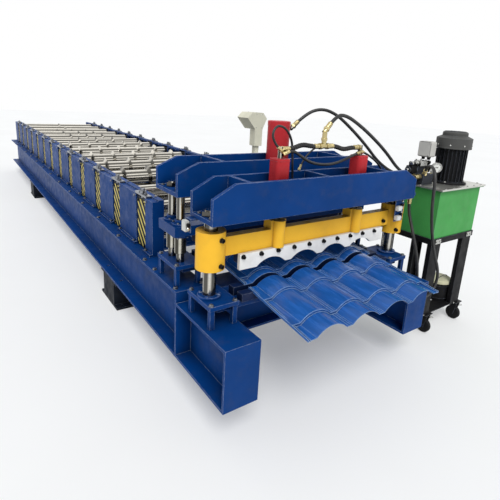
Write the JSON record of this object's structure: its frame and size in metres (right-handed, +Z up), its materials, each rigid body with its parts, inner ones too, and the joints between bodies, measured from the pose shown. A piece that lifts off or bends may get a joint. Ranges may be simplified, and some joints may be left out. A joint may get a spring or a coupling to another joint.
{
  "type": "roll forming machine",
  "caption": "Roll forming machine for glazed roof tile sheet: roll stands on two H beams, step press, guillotine cutter and a separate hydraulic unit.",
  "frame": {"origin": "on the floor, on the machine's centre line, below the outfeed end plates of the two long beams", "axes": "+X across the machine to the side with the hydraulic unit, +Y along the machine from the outfeed end to the infeed end, +Z up"},
  "size_m": [2.061, 7.397, 1.4174],
  "materials": {
    "machine_blue": "gloss machine enamel with small chips",
    "block_black": "black paint",
    "chrome_rolls": "hard chrome, fine turning marks",
    "housing_steel": "dark machined housings",
    "hazard_stripe": "black and pale yellow diagonal stripes",
    "zinc_steel": "zinc plated",
    "safety_yellow": "gloss yellow enamel",
    "cylinder_red": "gloss red enamel",
    "blade_steel": "ground tool steel",
    "die_dark": "dark blue painted tool steel",
    "sheet_blue": "pre-painted gloss steel sheet",
    "tank_green": "green enamel",
    "lid_steel": "bare steel with handling marks",
    "motor_black": "satin black paint on cast fins",
    "cowl_grey": "satin dark grey",
    "box_grey": "grey terminal box",
    "console_cream": "fine textured cream enamel",
    "hose_rubber": "black hydraulic hose",
    "brass_fittings": "plated fittings"
  },
  "bodies": {
    "frame": {"adjusting_screws": "zinc_steel", "casters": "motor_black", "control_box": "console_cream", "cross_members": "machine_blue", "cutter_base": "machine_blue", "cutter_beam": "machine_blue", "cutter_cylinders": "cylinder_red", "cutter_posts": "chrome_rolls", "die_bolsters": "machine_blue", "entry_table": "machine_blue", "fan_cowl": "cowl_grey", "hose_cutter_feed": "hose_rubber", "hose_left_cylinder": "hose_rubber", "hose_press": "hose_rubber", "hose_return": "hose_rubber", "hose_right_cylinder": "hose_rubber", "hose_tee": "brass_fittings", "left_beam": "machine_blue", "left_bearing_blocks": "housing_steel", "left_side_panels": "machine_blue", "lower_blades": "die_dark", "lower_rolls": "chrome_rolls", "oil_can": "motor_black", "press_base": "machine_blue", "press_beam": "machine_blue", "press_cylinder": "cylinder_red", "press_lower_die": "die_dark", "press_posts": "chrome_rolls", "pump_motor": "motor_black", "right_beam": "machine_blue", "right_bearing_blocks": "housing_steel", "right_side_panels": "machine_blue", "striped_covers": "hazard_stripe", "support_blocks": "block_black", "tank": "tank_green", "tank_lid": "lid_steel", "terminal_box": "box_grey", "tile_sheet": "sheet_blue", "unit_legs": "motor_black", "valve_block": "housing_steel"},
    "cutter": {"cutter_yoke": "safety_yellow", "cutter_rods": "chrome_rolls", "upper_blade": "blade_steel", "blade_holder": "die_dark"},
    "press": {"press_plate": "machine_blue", "press_rod": "chrome_rolls", "press_upper_die": "die_dark"},
    "upper_roll_01": {"upper_roll_01": "chrome_rolls"},
    "upper_roll_02": {"upper_roll_02": "chrome_rolls"},
    "upper_roll_03": {"upper_roll_03": "chrome_rolls"},
    "upper_roll_04": {"upper_roll_04": "chrome_rolls"},
    "upper_roll_05": {"upper_roll_05": "chrome_rolls"},
    "upper_roll_06": {"upper_roll_06": "chrome_rolls"},
    "upper_roll_07": {"upper_roll_07": "chrome_rolls"},
    "upper_roll_08": {"upper_roll_08": "chrome_rolls"},
    "upper_roll_09": {"upper_roll_09": "chrome_rolls"},
    "upper_roll_10": {"upper_roll_10": "chrome_rolls"},
    "upper_roll_11": {"upper_roll_11": "chrome_rolls"},
    "upper_roll_12": {"upper_roll_12": "chrome_rolls"},
    "upper_roll_13": {"upper_roll_13": "chrome_rolls"}
  },
  "joints": [
    {"name": "cutter_slide", "type": "slide", "parent": "frame", "child": "cutter", "axis": [0, 0, 1], "range_m": [-0.097, 0]},
    {"name": "press_slide", "type": "slide", "parent": "frame", "child": "press", "axis": [0, 0, 1], "range_m": [-0.04, 0]},
    {"name": "upper_roll_01_spin", "type": "hinge", "parent": "frame", "child": "upper_roll_01", "pos_m": [0, 1.11, 0.7795], "axis": [1, 0, 0], "continuous": true},
    {"name": "upper_roll_02_spin", "type": "hinge", "parent": "frame", "child": "upper_roll_02", "pos_m": [0, 1.575, 0.7795], "axis": [1, 0, 0], "continuous": true},
    {"name": "upper_roll_03_spin", "type": "hinge", "parent": "frame", "child": "upper_roll_03", "pos_m": [0, 2.04, 0.7795], "axis": [1, 0, 0], "continuous": true},
    {"name": "upper_roll_04_spin", "type": "hinge", "parent": "frame", "child": "upper_roll_04", "pos_m": [0, 2.505, 0.7795], "axis": [1, 0, 0], "continuous": true},
    {"name": "upper_roll_05_spin", "type": "hinge", "parent": "frame", "child": "upper_roll_05", "pos_m": [0, 2.97, 0.7795], "axis": [1, 0, 0], "continuous": true},
    {"name": "upper_roll_06_spin", "type": "hinge", "parent": "frame", "child": "upper_roll_06", "pos_m": [0, 3.435, 0.7795], "axis": [1, 0, 0], "continuous": true},
    {"name": "upper_roll_07_spin", "type": "hinge", "parent": "frame", "child": "upper_roll_07", "pos_m": [0, 3.9, 0.7795], "axis": [1, 0, 0], "continuous": true},
    {"name": "upper_roll_08_spin", "type": "hinge", "parent": "frame", "child": "upper_roll_08", "pos_m": [0, 4.365, 0.7795], "axis": [1, 0, 0], "continuous": true},
    {"name": "upper_roll_09_spin", "type": "hinge", "parent": "frame", "child": "upper_roll_09", "pos_m": [0, 4.83, 0.7795], "axis": [1, 0, 0], "continuous": true},
    {"name": "upper_roll_10_spin", "type": "hinge", "parent": "frame", "child": "upper_roll_10", "pos_m": [0, 5.295, 0.7795], "axis": [1, 0, 0], "continuous": true},
    {"name": "upper_roll_11_spin", "type": "hinge", "parent": "frame", "child": "upper_roll_11", "pos_m": [0, 5.76, 0.7795], "axis": [1, 0, 0], "continuous": true},
    {"name": "upper_roll_12_spin", "type": "hinge", "parent": "frame", "child": "upper_roll_12", "pos_m": [0, 6.225, 0.7795], "axis": [1, 0, 0], "continuous": true},
    {"name": "upper_roll_13_spin", "type": "hinge", "parent": "frame", "child": "upper_roll_13", "pos_m": [0, 6.69, 0.7795], "axis": [1, 0, 0], "continuous": true}
  ],
  "couplings": [
    {"joint": "upper_roll_01_spin", "follows": "upper_roll_11_spin", "ratio": 1},
    {"joint": "upper_roll_02_spin", "follows": "upper_roll_11_spin", "ratio": 1},
    {"joint": "upper_roll_03_spin", "follows": "upper_roll_11_spin", "ratio": 1},
    {"joint": "upper_roll_04_spin", "follows": "upper_roll_11_spin", "ratio": 1},
    {"joint": "upper_roll_05_spin", "follows": "upper_roll_11_spin", "ratio": 1},
    {"joint": "upper_roll_06_spin", "follows": "upper_roll_11_spin", "ratio": 1},
    {"joint": "upper_roll_07_spin", "follows": "upper_roll_11_spin", "ratio": 1},
    {"joint": "upper_roll_08_spin", "follows": "upper_roll_11_spin", "ratio": 1},
    {"joint": "upper_roll_09_spin", "follows": "upper_roll_11_spin", "ratio": 1},
    {"joint": "upper_roll_10_spin", "follows": "upper_roll_11_spin", "ratio": 1},
    {"joint": "upper_roll_12_spin", "follows": "upper_roll_11_spin", "ratio": 1},
    {"joint": "upper_roll_13_spin", "follows": "upper_roll_11_spin", "ratio": 1}
  ]
}
